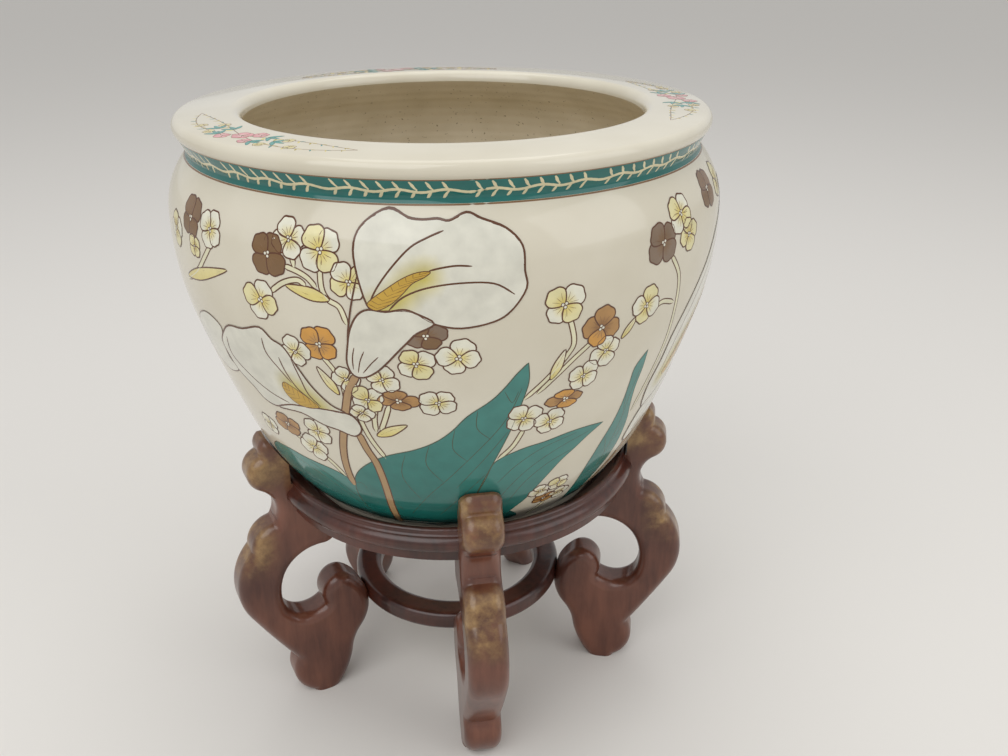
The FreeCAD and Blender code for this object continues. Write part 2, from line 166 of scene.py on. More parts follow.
def lathe(profile, turns):
    """Vertices and faces of a profile turned about the upright axis."""
    vertices, rings = [], []
    for reach, height in profile:
        if reach == 0.0:
            rings.append([len(vertices)])
            vertices.append((0.0, 0.0, height))
            continue
        rings.append(range(len(vertices), len(vertices) + turns))
        for i in range(turns):
            a = 2 * math.pi * i / turns
            vertices.append((reach * math.cos(a), reach * math.sin(a), height))
    faces = []
    for low, high in zip(rings, rings[1:]):
        for i in range(turns):
            j = (i + 1) % turns
            if len(low) == 1:
                faces.append((low[0], high[j], high[i]))
            elif len(high) == 1:
                faces.append((low[i], low[j], high[0]))
            else:
                faces.append((low[i], low[j], high[j], high[i]))
    return vertices, faces


def linear(red, green, blue):
    """A colour given as it looks on a screen, 0 to 255, in linear light."""
    return tuple(((c / 255 + 0.055) / 1.055) ** 2.4 if c > 10 else c / 3294.6 for c in (red, green, blue))


# --- materials ---------------------------------------------------------------


WHITE = (1.0, 1.0, 1.0)
MIDDLE_GREY = (0.5, 0.5, 0.5)
COAT_ROUGHNESS = 0.08


def material(name, roughness, colour=MIDDLE_GREY, coat=0.0):
    """A new material with its node tree and its shader."""
    made = bpy.data.materials.new(name)
    made.use_nodes = True
    shader = made.node_tree.nodes["Principled BSDF"]
    shader.inputs["Base Color"].default_value = (*colour, 1.0)
    shader.inputs["Roughness"].default_value = roughness
    shader.inputs["Coat Weight"].default_value = coat
    shader.inputs["Coat Roughness"].default_value = COAT_ROUGHNESS
    return made, made.node_tree, shader


def noise(tree, scale, detail, coordinates=None, roughness=0.5):
    node = tree.nodes.new("ShaderNodeTexNoise")
    node.inputs["Scale"].default_value = scale
    node.inputs["Detail"].default_value = detail
    node.inputs["Roughness"].default_value = roughness
    if coordinates is None:
        coordinates = tree.nodes.new("ShaderNodeTexCoord").outputs["Object"]
    tree.links.new(coordinates, node.inputs["Vector"])
    return node.outputs["Fac"]


def ramp(tree, factor, stops):
    """A colour ramp over (position, colour) stops."""
    node = tree.nodes.new("ShaderNodeValToRGB")
    elements = node.color_ramp.elements
    for element, (position, colour) in zip(elements, stops):
        element.position, element.color = position, (*colour, 1.0)
    for position, colour in stops[2:]:
        elements.new(position).color = (*colour, 1.0)
    tree.links.new(factor, node.inputs["Fac"])
    return node.outputs["Color"]


def mix(tree, factor, first, second, blend="MIX"):
    node = tree.nodes.new("ShaderNodeMix")
    node.data_type = "RGBA"
    node.blend_type = blend
    for name, value in (("Factor", factor), ("A", first), ("B", second)):
        socket = node.inputs[name]
        if isinstance(value, (int, float)):
            socket.default_value = value
        elif isinstance(value, tuple):
            socket.default_value = (*value, 1.0)
        else:
            tree.links.new(value, socket)
    return node.outputs["Result"]


def compute(tree, operation, *values):
    node = tree.nodes.new("ShaderNodeMath")
    node.operation = operation
    for socket, value in zip(node.inputs, values):
        if isinstance(value, (int, float)):
            socket.default_value = value
        else:
            tree.links.new(value, socket)
    return node.outputs["Value"]


def bump(tree, shader, height, distance):
    node = tree.nodes.new("ShaderNodeBump")
    node.inputs["Distance"].default_value = distance
    tree.links.new(height, node.inputs["Height"])
    tree.links.new(node.outputs["Normal"], shader.inputs["Normal"])


def axes_of(tree, place):
    """The X, Y and Z of a place."""
    node = tree.nodes.new("ShaderNodeSeparateXYZ")
    tree.links.new(place, node.inputs["Vector"])
    return node.outputs


# waves per metre of height, times a full turn
THROWING_RINGS = 900.0
NICK_WAVES = 760.0

# Where the legs are cut and gilt: heights and reaches in metres, from none to full.
NICKS_START = (0.163, 0.167)
NICKS_END = (0.187, 0.191)
NICKS_REACH = (0.147, 0.149)
EAR_GOLD = (0.188, 0.208)
KNEE_START = (0.116, 0.138)
KNEE_END = (0.160, 0.172)
KNEE_REACH = (0.146, 0.164)


def glaze_material():
    """Warm ivory glaze with faint clouding."""
    made, tree, shader = material("ivory_glaze", 0.11)
    cloud = ramp(tree, noise(tree, 14.0, 3.0),
                 [(0.35, linear(206, 199, 180)), (0.7, linear(215, 209, 192))])
    tree.links.new(cloud, shader.inputs["Base Color"])
    return made


def enamel_material():
    """Glazed enamel that takes its colour from the painted tint."""
    made, tree, shader = material("painted_enamel", 0.1)
    tint = tree.nodes.new("ShaderNodeAttribute")
    tint.attribute_name = "tint"
    shade = ramp(tree, noise(tree, 90.0, 4.0), [(0.3, (0.86, 0.86, 0.86)), (0.65, WHITE)])
    tree.links.new(mix(tree, 1.0, tint.outputs["Color"], shade, "MULTIPLY"), shader.inputs["Base Color"])
    return made


def bisque_material():
    """Unglazed clay with throwing rings and dark specks."""
    made, tree, shader = material("bare_clay", 0.55)
    axes = axes_of(tree, tree.nodes.new("ShaderNodeTexCoord").outputs["Object"])
    rings = compute(tree, "SINE", compute(tree, "MULTIPLY", axes["Z"], THROWING_RINGS))
    body = ramp(tree, noise(tree, 30.0, 5.0), [(0.3, linear(206, 194, 168)), (0.7, linear(220, 209, 186))])
    speck = ramp(tree, noise(tree, 420.0, 1.0), [(0.7, WHITE), (0.76, (0.45, 0.4, 0.32))])
    tree.links.new(mix(tree, 1.0, body, speck, "MULTIPLY"), shader.inputs["Base Color"])
    bump(tree, shader, rings, 0.0001)
    return made


def wood_material(name, dark, light, gold):
    """Stained hardwood under gloss, rubbed to old gold where gold is true."""
    made, tree, shader = material(name, 0.3, coat=0.3)
    place = tree.nodes.new("ShaderNodeTexCoord").outputs["Object"]
    stretch = tree.nodes.new("ShaderNodeMapping")
    stretch.inputs["Scale"].default_value = (1.0, 1.0, 0.16)
    tree.links.new(place, stretch.inputs["Vector"])
    grain = noise(tree, 160.0, 6.0, stretch.outputs["Vector"], 0.6)
    cloud = noise(tree, 16.0, 3.0, place)
    both = compute(tree, "ADD",
                   compute(tree, "MULTIPLY", grain, 0.35), compute(tree, "MULTIPLY", cloud, 0.65))
    colour = ramp(tree, both, [(0.38, dark), (0.62, light)])
    surface = compute(tree, "MULTIPLY", grain, 0.2)
    if gold:
        colour = mix(tree, gold_mask(tree, place), colour, gold_colour(tree, place))
        nicks = carved_nicks(tree, place)
        # painted shade: the wood is darkened inside the carved cuts, where shade falls in them
        colour = mix(tree, compute(tree, "MULTIPLY", nicks, 0.8), colour, dark)
        surface = compute(tree, "SUBTRACT", surface, nicks)
    tree.links.new(colour, shader.inputs["Base Color"])
    bump(tree, shader, surface, 0.0008)
    return made


def reach_of(tree, axes):
    squares = [compute(tree, "MULTIPLY", axes[axis], axes[axis]) for axis in "XY"]
    return compute(tree, "SQRT", compute(tree, "ADD", *squares))


def carved_nicks(tree, place):
    """Short cuts one above another on the front of each leg's neck."""
    axes = axes_of(tree, place)
    height = axes["Z"]
    cuts = band(tree, compute(tree, "SINE", compute(tree, "MULTIPLY", height, NICK_WAVES)), 0.45, 0.9)
    started, ended = band(tree, height, *NICKS_START), band(tree, height, *NICKS_END)
    zone = compute(tree, "MULTIPLY", started, compute(tree, "SUBTRACT", 1.0, ended))
    zone = compute(tree, "MULTIPLY", zone, band(tree, reach_of(tree, axes), *NICKS_REACH))
    return compute(tree, "MULTIPLY", cuts, zone)


def gold_colour(tree, place):
    return ramp(tree, noise(tree, 75.0, 5.0, place, 0.65),
                [(0.36, linear(92, 60, 38)), (0.5, linear(126, 94, 58)), (0.66, linear(154, 122, 78))])


def gold_mask(tree, place):
    """Patches on the legs' ears and knees, broken up by noise."""
    axes = axes_of(tree, place)
    height = axes["Z"]
    reach = reach_of(tree, axes)
    ear = band(tree, height, *EAR_GOLD)
    knee = compute(tree, "MULTIPLY", band(tree, height, *KNEE_START), band(tree, reach, *KNEE_REACH))
    below = compute(tree, "SUBTRACT", 1.0, band(tree, height, *KNEE_END))
    patch = compute(tree, "ADD", ear, compute(tree, "MULTIPLY", knee, below))
    broken = ramp(tree, noise(tree, 55.0, 5.0, place, 0.6), [(0.4, (0.25, 0.25, 0.25)), (0.56, WHITE)])
    return compute(tree, "MULTIPLY", patch, broken)


def band(tree, value, low, high):
    """0 below low, 1 above high, smooth between."""
    node = tree.nodes.new("ShaderNodeMapRange")
    node.interpolation_type = "SMOOTHSTEP"
    node.inputs["From Min"].default_value = low
    node.inputs["From Max"].default_value = high
    tree.links.new(value, node.inputs["Value"])
    return node.outputs["Result"]


# --- the bowl ----------------------------------------------------------------

TURNS = 288
SHARP = 35             # an edge that turns by more degrees than this stays sharp
glaze, clay, enamel = glaze_material(), bisque_material(), enamel_material()
OUTER, INNER, FOOT = outer_profile(), inner_profile(), foot_profile()


def make_bowl():
    """The bowl, bare clay inside and below and glazed between."""
    vertices, faces = lathe(FOOT + OUTER[1:] + INNER[1:], TURNS)
    bowl = make_piece("bowl", vertices, faces, glaze, "bowl")
    bowl.data.materials.append(clay)
    bare_below, bare_above = len(FOOT) - 1, len(FOOT) + len(OUTER) - 3
    for face in bowl.data.polygons:
        ring = face.index // TURNS
        face.material_index = 0 if bare_below <= ring <= bare_above else 1
    bowl.data.set_sharp_from_angle(angle=math.radians(SHARP))
    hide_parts("bowl")


# --- the stand ---------------------------------------------------------------

def dress_stand():
    mahogany = wood_material("stained_mahogany", linear(44, 18, 12), linear(86, 42, 30), gold=False)
    rubbed = wood_material("rubbed_mahogany", linear(74, 38, 27), linear(116, 70, 52), gold=True)
    plain = wood_material("plain_wood", linear(120, 80, 52), linear(150, 108, 74), gold=False)
    steel, _, shader = material("screw_steel", 0.35, linear(150, 148, 142))
    shader.inputs["Metallic"].default_value = 1.0
    for node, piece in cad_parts.items():
        if node.startswith("leg_"):
            dress(piece, rubbed)
        elif node.startswith("seat_ring") or node == "lower_ring":
            dress(piece, mahogany)
        elif node == "segment_dowels":
            dress(piece, plain)
        elif node.endswith("screws"):
            dress(piece, steel)


def dress(piece, made):
    for slot in piece.material_slots:
        slot.material = made


# --- painting ----------------------------------------------------------------
#
# Painted places are (azimuth in degrees, height) on the bowl's side and
# (azimuth, reach) on its lip. A lift is the enamel's thickness over the glaze.

GRID = 3.5             # the spacing of the points inside a painted field
BED = 0.03             # how deep the edge of a painted line is let into its ground
CREST = 0.05           # how far a line's back stands over its ground
STEM_LIFT = 0.08
LEAF_LIFT = 0.12
BLOSSOM_LIFT = 0.16
LILY_LIFT = 0.36
OVERLAP = 0.06         # how far a shape lies over the one below it
LINE = 1.05
BOLD_LINE = 1.45
FINE_LINE = 0.6
HAIR_LINE = 0.45
LEAF_LINE = FINE_LINE * 1.3
RISING = [(reach, height) for reach, height in OUTER if height <= LIP_UNDER[1]][1:]

BROWN_LINE = linear(94, 58, 38)
FINE_BROWN = linear(128, 96, 66)
PETAL_WHITE = linear(228, 226, 208)
PETAL_YELLOW = linear(220, 204, 122)
PETAL_BROWN = linear(122, 92, 60)
PETAL_TAN = linear(176, 134, 82)
PETAL_ORANGE = linear(208, 152, 70)
LILY_WHITE = linear(218, 216, 202)
LILY_GLOW = linear(196, 182, 92)
SPADIX = linear(196, 158, 62)
STEM_TAN = linear(176, 144, 104)
STEM_PALE = linear(222, 218, 186)
TEAL = linear(66, 130, 122)
DEEP_TEAL = linear(20, 104, 96)
BAND_TEAL = linear(24, 104, 98)
BAND_CREAM = linear(220, 210, 172)
VEIN = linear(70, 84, 66)
PINK = linear(216, 140, 146)
SPRIG = linear(176, 160, 72)


def side_at(height):
    """The glaze's reach and slope at a height."""
    for (r0, h0), (r1, h1) in zip(RISING, RISING[1:]):
        if height <= h1:
            break
    slope = (r1 - r0) / (h1 - h0)
    return r0 + (height - h0) * slope, slope


def on_side(azimuth, height, lift):
    reach, slope = side_at(height)
    steep = math.hypot(1.0, slope)
    return polar(reach + lift / steep, azimuth, height - lift * slope / steep)


def on_lip(azimuth, reach, lift):
    fall = (LIP_TOP[1] - MOUTH_TOP[1]) / (LIP_TOP[0] - MOUTH_TOP[0])
    return polar(reach, azimuth, MOUTH_TOP[1] + (reach - MOUTH_TOP[0]) * fall + lift)


def polar(reach, azimuth, height):
    turn = math.radians(azimuth)
    return (reach * math.sin(turn), -reach * math.cos(turn), height)


def per_degree(ground, across):
    """Millimetres along one degree of azimuth."""
    return math.radians(side_at(across)[0] if ground is on_side else across)


def about(ground, centre, offsets):
    """Places at (right, up) offsets in millimetres from a centre."""
    scale = per_degree(ground, centre[1])
    return [(centre[0] + right / scale, centre[1] + up) for right, up in offsets]


def smooth(points, closed=False, steps=5):
    """A soft curve through the points."""
    count = len(points)
    curve = []
    for i in range(count if closed else count - 1):
        before = points[i - 1] if closed or i else points[i]
        start, end = points[i], points[(i + 1) % count]
        after = points[(i + 2) % count] if closed or i + 2 < count else end
        for step in range(steps):
            t = step / steps
            curve.append(tuple(between(*values, t) for values in zip(before, start, end, after)))
    return curve if closed else curve + [points[-1]]


def between(a, b, c, d, t):
    """The soft curve from b to c at t from 0 to 1, with a before them and d after."""
    square = 2 * a - 5 * b + 4 * c - d
    cube = 3 * b - a - 3 * c + d
    return 0.5 * (2 * b + (c - a) * t + square * t * t + cube * t ** 3)


def blend(first, second, share):
    """A colour or place on the way from the first to the second."""
    share = min(max(share, 0.0), 1.0)
    return tuple(a + (b - a) * share for a, b in zip(first, second))


def inside(spot, outline):
    """Whether a spot lies within a closed outline."""
    x, y = spot
    crossings = 0
    for (x0, y0), (x1, y1) in zip(outline, outline[1:] + outline[:1]):
        if (y0 > y) != (y1 > y) and x < x0 + (y - y0) * (x1 - x0) / (y1 - y0):
            crossings += 1
    return crossings % 2 == 1


class Paint:
    """Painted shapes that are gathered into one piece."""

    def __init__(self):
        self.vertices, self.faces, self.tints = [], [], []

    def spot(self, place, tint):
        self.vertices.append(place)
        self.tints.append(tint)
        return len(self.vertices) - 1

    def fill(self, ground, outline, tint, lift):
        """A closed field; tint is a colour or gives one for a place."""
        shade = tint if callable(tint) else lambda azimuth, across: tint
        scale = per_degree(ground, sum(v for _, v in outline) / len(outline))
        flat = [(u * scale, v) for u, v in outline]
        left, right = min(x for x, _ in flat), max(x for x, _ in flat)
        low, high = min(y for _, y in flat), max(y for _, y in flat)
        columns, rows = int((right - left) / GRID), int((high - low) / GRID)
        grid = [(left + GRID * (i + 0.5 * (j % 2)), low + GRID * j)
                for i in range(1, columns + 1) for j in range(1, rows + 1)]
        spots = [Vector(spot) for spot in flat + [spot for spot in grid if inside(spot, flat)]]
        places, _, faces, *_ = delaunay_2d_cdt(spots, [], [list(range(len(flat)))], 1, 1e-4)
        index = [self.spot(ground(p.x / scale, p.y, lift), shade(p.x / scale, p.y)) for p in places]
        for face in faces:
            corners = [index[i] for i in face]
            self.faces.append(corners if ground is on_side else corners[::-1])
        self.rim(ground, outline, shade, lift)

    def rim(self, ground, outline, shade, lift):
        """The field's side, from its top down into the glaze."""
        tops = [self.spot(ground(u, v, lift), shade(u, v)) for u, v in outline]
        feet = [self.spot(ground(u, v, -BED), shade(u, v)) for u, v in outline]
        for i in range(len(outline)):
            j = (i + 1) % len(outline)
            self.faces.append([tops[i], tops[j], feet[j], feet[i]])

    def line(self, ground, path, width, tint, lift, closed=False, crest=CREST):
        """A line with a raised back and, where it is open, fine ends."""
        count = len(path)
        rows = []
        for i, (u, v) in enumerate(path):
            before = path[i - 1] if closed or i else path[i]
            after = path[(i + 1) % count] if closed or i + 1 < count else path[i]
            scale = per_degree(ground, v)
            along, up = (after[0] - before[0]) * scale, after[1] - before[1]
            length = math.hypot(along, up) or 1.0
            ends = 1.0 if closed else min(1.0, 0.4 + 0.3 * min(i, count - 1 - i))
            right, rise = -up / length * width / 2 * ends, along / length * width / 2 * ends
            rows.append((self.spot(ground(u - right / scale, v - rise, lift - BED), tint),
                         self.spot(ground(u, v, lift + crest), tint),
                         self.spot(ground(u + right / scale, v + rise, lift - BED), tint)))
        for i in range(count if closed else count - 1):
            here, there = rows[i], rows[(i + 1) % count]
            for side in (0, 1):
                quad = [here[side], there[side], there[side + 1], here[side + 1]]
                self.faces.append(quad if ground is on_side else quad[::-1])

    def piece(self, name, azimuths=(0.0,)):
        """The piece itself, with the painting repeated at further azimuths."""
        vertices, faces = [], []
        for azimuth in azimuths:
            c, s = math.cos(math.radians(azimuth)), math.sin(math.radians(azimuth))
            first = len(vertices)
            vertices += [(x * c - y * s, x * s + y * c, z) for x, y, z in self.vertices]
            faces += [[first + i for i in face] for face in self.faces]
        make_piece(name, vertices, faces, enamel, "bowl", tints=self.tints * len(azimuths))


# --- motifs ------------------------------------------------------------------

PETAL = [(0.04, -0.05), (0.26, -0.33), (0.56, -0.54), (0.84, -0.45), (0.97, -0.2), (1.06, 0.02),
         (0.94, 0.27), (0.8, 0.49), (0.52, 0.53), (0.25, 0.33), (0.04, 0.05)]
SMALL = 7.0            # a blossom with shorter petals is drawn without strokes and stamens
PETAL_STROKES = (-0.3, 0.0, 0.28)
HEART_EDGE, HEART_FADE = 0.2, 0.45
STAMEN = [(math.cos(a * 1.05), math.sin(a * 1.05)) for a in range(6)]
STAMEN_SIZE = 0.085
BUD = [(0.0, -0.05), (0.3, -0.15), (0.6, -0.13), (1.0, 0.0), (0.68, 0.12), (0.32, 0.15), (0.0, 0.05)]
ROUND_BUD = 24.0       # a bud longer than this is no wider than one of this length
BUD_FOLD = [(0.1, 0.0), (0.5, 0.03), (0.85, 0.0)]


def turned(points, size, angle, squash=1.0):
    """Points made larger, turned and flattened."""
    c, s = math.cos(math.radians(angle)), math.sin(math.radians(angle))
    return [(size * (x * c - y * s), size * (x * s + y * c) * squash) for x, y in points]


def paint_blossom(fields, lines, ground, centre, size, angle, colours, squash, lift, petals=4):
    """Overlapping petals round a few small stamens."""
    for i in range(petals):
        tip, heart = colours[i % len(colours)]
        reach = size * (1.0 + 0.07 * math.sin(5.1 * i + centre[0]))
        way = angle + 360.0 / petals * i + 6 * math.sin(3.7 * i + centre[1])
        level = lift + min(OVERLAP, lift) * (i % 2)
        outline = about(ground, centre, turned(smooth(PETAL, True, 4), reach, way, squash))

        def shade(azimuth, across, tip=tip, heart=heart):
            right = (azimuth - centre[0]) * per_degree(ground, centre[1])
            away = math.hypot(right, (across - centre[1]) / squash)
            return blend(heart, tip, (away / size - HEART_EDGE) / HEART_FADE)

        fields.fill(ground, outline, shade, level)
        small = size < SMALL
        width, colour = (HAIR_LINE, FINE_BROWN) if small else (LINE, BROWN_LINE)
        lines.line(ground, outline, width, colour, level, closed=True)
        if not small:
            for bend in PETAL_STROKES:
                stroke = turned([(0.24, bend * 0.3), (0.4, bend * 0.62), (0.56, bend)], reach, way, squash)
                lines.line(ground, about(ground, centre, stroke), FINE_LINE, FINE_BROWN, level)
    for i in range(0 if size < SMALL else 3):
        spot = about(ground, centre, turned([(0.1, 0.0)], size, angle + 120 * i))[0]
        ring = about(ground, spot, turned(STAMEN, size * STAMEN_SIZE, 0))
        lines.fill(ground, ring, PETAL_WHITE, lift + OVERLAP * 2)
        lines.line(ground, ring, FINE_LINE, BROWN_LINE, lift + OVERLAP * 2, closed=True)


def paint_bud(fields, lines, base, tip):
    """A closed bud from its base to its tip."""
    right, rise = (tip[0] - base[0]) * per_degree(on_side, base[1]), tip[1] - base[1]
    length, angle = math.hypot(right, rise), math.degrees(math.atan2(rise, right))

    def shade(azimuth, height):
        return blend(PETAL_YELLOW, PETAL_WHITE, abs(height - base[1]) / length)

    slim = [(along, across * min(1.0, ROUND_BUD / length)) for along, across in BUD]
    outline = about(on_side, base, turned(smooth(slim, True, 4), length, angle))
    fields.fill(on_side, outline, shade, BLOSSOM_LIFT)
    lines.line(on_side, outline, LINE, BROWN_LINE, BLOSSOM_LIFT, closed=True)
    fold = about(on_side, base, turned(BUD_FOLD, length, angle))
    lines.line(on_side, fold, FINE_LINE, FINE_BROWN, BLOSSOM_LIFT)


TWIG_WIDTH = 2.4
STEM_WIDTH = 4.0
STEM_EDGES = 1.6       # the width of both brown edges together


def paint_twig(stems, path, width, colour, lift):
    """A stem with a brown line along each side."""
    curve = smooth(path, steps=6)
    stems.line(on_side, curve, width + STEM_EDGES, BROWN_LINE, lift)
    stems.line(on_side, curve, width, colour, lift + BED, crest=CREST * 1.6)


def near_path(path, spot):
    """The distance in millimetres from a spot to the nearest point of a path."""
    scale = per_degree(on_side, spot[1])
    return min(math.hypot((u - spot[0]) * scale, v - spot[1]) for u, v in path)


GLOW_START, GLOW_REACH, GLOW_LEAST = 3.0, 12.0, 0.15


def paint_lily(fields, lines, parts, spadix, veins):
    """A lily: its outlined parts in order, its veins and its spadix with a soft glow about it."""
    heart = smooth(spadix[:len(spadix) // 2])

    def shade(azimuth, height):
        away = near_path(heart, (azimuth, height))
        return blend(LILY_GLOW, LILY_WHITE, GLOW_LEAST + (away - GLOW_START) / GLOW_REACH)

    for step, part in enumerate(parts):
        outline = smooth(part, True, 4)
        level = LILY_LIFT + OVERLAP / 2 * step
        fields.fill(on_side, outline, shade if step == 0 else LILY_WHITE, level)
        lines.line(on_side, outline, BOLD_LINE, BROWN_LINE, level, closed=True)
    for vein in veins:
        lines.line(on_side, smooth(vein), LINE, BROWN_LINE, level)
    paint_spadix(fields, lines, spadix)


def paint_spadix(fields, lines, spadix):
    """The lily's spadix, with short strokes in pairs from its middle to its edges."""
    outline = smooth(spadix, True, 4)
    top = LILY_LIFT + OVERLAP
    fields.fill(on_side, outline, SPADIX, top)
    lines.line(on_side, outline, FINE_LINE, BROWN_LINE, top, closed=True)
    half = len(outline) // 2
    for i in range(2, half - 2, 2):
        middle = blend(outline[i], outline[-i], 0.5)
        for edge in (outline[i + 2], outline[-i - 3]):
            lines.line(on_side, [middle, blend(middle, edge, 0.6), edge], FINE_LINE, BROWN_LINE, top)


LEAF_PALING = 1.3      # a leaf is at its palest this much before its tip


def paint_leaf(leaves, left, right, ribs, lift):
    """A broad leaf between its two edges, paler towards its tip, with its veins."""
    outline = smooth(left)[::-1] + smooth(right)[1:]
    low, high = min(v for _, v in outline), max(v for _, v in outline)

    def shade(azimuth, height):
        return blend(DEEP_TEAL, TEAL, (height - low) / (high - low) * LEAF_PALING)

    leaves.fill(on_side, outline, shade, lift)
    leaves.line(on_side, outline, LEAF_LINE, VEIN, lift)
    for rib in ribs:
        leaves.line(on_side, smooth(rib), LEAF_LINE, VEIN, lift)


# --- where the flowers stand -------------------------------------------------

# petal colours, as (tip, heart)
CREAM = (PETAL_WHITE, PETAL_YELLOW)
YELLOW = (linear(224, 216, 166), linear(214, 194, 104))
DARK = (PETAL_BROWN, PETAL_BROWN)
TAN = (PETAL_TAN, linear(140, 100, 60))
ORANGE = (PETAL_ORANGE, PETAL_TAN)
GREY = (linear(130, 110, 92), PETAL_BROWN)

# azimuth, height, petal length, turn, petal colours, flattening
BLOSSOMS = [
    (-34, 407, 10.5, 20, (CREAM,), 1.0), (-28, 403, 12.5, 40, (CREAM, YELLOW), 1.0),
    (-38.5, 397, 12.5, 50, (DARK,), 1.0), (-23, 387, 11, 30, (YELLOW, CREAM), 1.0),
    (-41, 369, 12, 70, (CREAM, YELLOW), 1.0), (-61, 404, 12, 35, (DARK,), 1.0),
    (-53.5, 402, 11, 60, (CREAM,), 1.0), (-59.5, 388, 7, 40, (YELLOW,), 1.0),
    (-69, 392, 11, 10, (CREAM, YELLOW), 1.0), (-35.5, 339, 10, 15, (CREAM,), 1.0),
    (-30, 347, 12, 50, (ORANGE,), 0.95), (-54.5, 265, 8, 30, (CREAM,), 1.0),
    (-46, 275, 11, 25, (TAN,), 0.75), (-37, 277, 10.5, 45, (CREAM,), 1.0),
    (-40, 261, 10.5, 10, (CREAM,), 1.0),
    (-26, 325, 9, 10, (CREAM,), 1.0), (-22.5, 311, 10, 35, (CREAM, YELLOW), 1.0),
    (-19, 327, 10, 65, (CREAM,), 1.0), (-10.5, 357, 11.5, 30, (GREY, DARK), 0.75),
    (-12.5, 339, 11.5, 35, (CREAM, YELLOW), 0.9), (-9, 311, 11, 50, (CREAM,), 0.85),
    (-16.5, 312, 12, 5, (TAN,), 0.6), (-5, 343, 12.5, 75, (CREAM,), 0.9), (-24.5, 300, 8, 10, (CREAM,), 0.8),
    (13.5, 370, 13, 45, (CREAM, YELLOW), 0.95), (23.5, 334, 10.5, 20, (CREAM,), 1.0),
    (21.5, 351, 12.5, -12, (TAN, TAN, TAN, ORANGE), 1.0), (19.5, 319, 10.5, 60, (CREAM,), 1.0),
    (8, 294, 11, 30, (CREAM,), 1.0), (14, 288, 10.5, 65, (CREAM,), 0.9),
    (16.5, 304, 12, 10, (TAN, ORANGE), 0.55), (35.5, 393, 13, 40, (GREY,), 1.0),
    (44, 392, 10.5, 15, (YELLOW,), 1.0), (41.5, 406, 11.5, 55, (CREAM, YELLOW), 1.0),
    (32, 357, 12, 75, (YELLOW, CREAM), 1.0), (55.5, 411, 12, 40, (DARK,), 1.0),
    (65, 409, 11, 20, (YELLOW,), 1.0),
    (72, 398, 11, 50, (CREAM,), 1.0), (17, 222, 8, 20, (CREAM,), 0.8), (22, 226, 8, 60, (CREAM, YELLOW), 0.8),
    (19.5, 211, 8.5, 40, (TAN,), 0.7), (24.5, 213, 8, 15, (CREAM,), 0.8),
]
# base and tip, each as (azimuth, height)
BUDS = [
    ((-65, 365), (-49, 381)), ((-27, 376), (-35, 381)), ((-28.5, 313), (-31.5, 331)),
    ((12.5, 322), (14.5, 341)), ((27, 340), (30, 352)), ((-22, 283), (-15.5, 293)),
]
TWIGS = [
    [(-38.5, 375), (-35.5, 382), (-32.5, 385), (-31, 382)],
    [(-35, 392), (-32.5, 390), (-30.5, 387), (-29, 382)],
    [(-33.5, 402), (-33, 392)],
    [(-28, 396), (-28, 383), (-27, 376), (-25, 372), (-24, 362)],
    [(-53, 395), (-56, 384), (-60, 372), (-66, 362)],
    [(-30, 340), (-28, 330), (-27, 318), (-27.5, 300)],
    [(-21, 308), (-22, 297), (-22.3, 286)],
    [(-18.5, 308), (-19.8, 297), (-21.2, 287)],
    [(-25.5, 306), (-25, 292), (-23.8, 278), (-21.5, 263)],
    [(-46, 270), (-42, 262), (-37, 252), (-34, 240)],
    [(14.5, 363), (16, 346), (15, 337), (11.5, 322), (7.5, 309)],
    [(20, 343), (17, 335), (14.5, 327), (10, 312)],
    [(38, 384), (41, 371), (42, 360), (42.5, 342), (43, 318), (42, 296), (40, 270)],
    [(34, 352), (37, 355), (41, 351)],
    [(3.5, 262), (6.5, 272), (8.5, 286)],
    [(21, 205), (20, 197), (18, 190)],
]
HOOD = [
    (-20, 375), (-21.5, 393), (-22, 408), (-20.5, 418), (-16.5, 425), (-13, 421), (-10.5, 420), (-8, 420.5),
    (-6, 419.5), (-3, 423), (-0.5, 420), (3.5, 415), (6, 406), (6.2, 393), (6.5, 383), (4, 371), (1, 365),
    (-4.5, 362), (-9, 365), (-12.5, 371.5), (-16, 372), (-18.5, 372),
]
FUNNEL = [
    (-9, 365), (-12, 359), (-13.5, 354), (-15.5, 347), (-18, 338), (-20, 332), (-22.3, 328), (-24.2, 329),
    (-25, 337), (-24.3, 349), (-23.5, 359), (-22, 368), (-20, 372), (-17, 371.3), (-14, 373), (-12, 371),
]
SPADIX_ONE = [
    (-18.5, 372), (-16, 376), (-14, 382), (-12.3, 388), (-10.3, 391.5), (-9.3, 394.5),
    (-11.5, 394), (-14, 390.5), (-16.5, 385), (-19, 379), (-20, 375),
]
VEINS_ONE = [
    [(-19.5, 377), (-18, 386), (-15.5, 397), (-12.5, 407), (-9.5, 412), (-7, 415)],
    [(-9.5, 395), (-7.5, 396.5), (-5, 397.5), (-2.5, 397)],
    [(-16.5, 372), (-14, 380), (-10, 385.5), (-4.5, 388), (1, 387), (4.5, 380)],
    [(-21.5, 391), (-23, 372), (-24.3, 352)],
    [(-22.3, 331), (-20.5, 338), (-19, 343)], [(-23.2, 331), (-22.5, 339), (-21.5, 346)],
    [(-24, 333), (-23.8, 341), (-23.2, 348)],
]
OPEN_SPATHE = [
    (-55.5, 336), (-52.5, 343), (-48, 345), (-43, 350), (-40.5, 344), (-38, 340), (-36, 327), (-34, 314),
    (-31, 303), (-28, 298), (-33.5, 298), (-39.5, 296), (-43, 293.5), (-47, 289), (-50.5, 291), (-53, 299),
    (-56.5, 307), (-58, 318), (-58, 327),
]
LOW_FUNNEL = [
    (-46, 289), (-42.5, 294), (-39.5, 296), (-33.5, 298), (-28, 298), (-26, 294), (-25.5, 286), (-27.5, 280),
    (-31, 283), (-34.5, 285), (-39.5, 290.5),
]
BACK_PETAL = [
    (-67, 336), (-61, 344), (-56, 339), (-58, 326), (-58.5, 314), (-56.5, 307),
    (-62, 301), (-67, 306), (-70, 320),
]
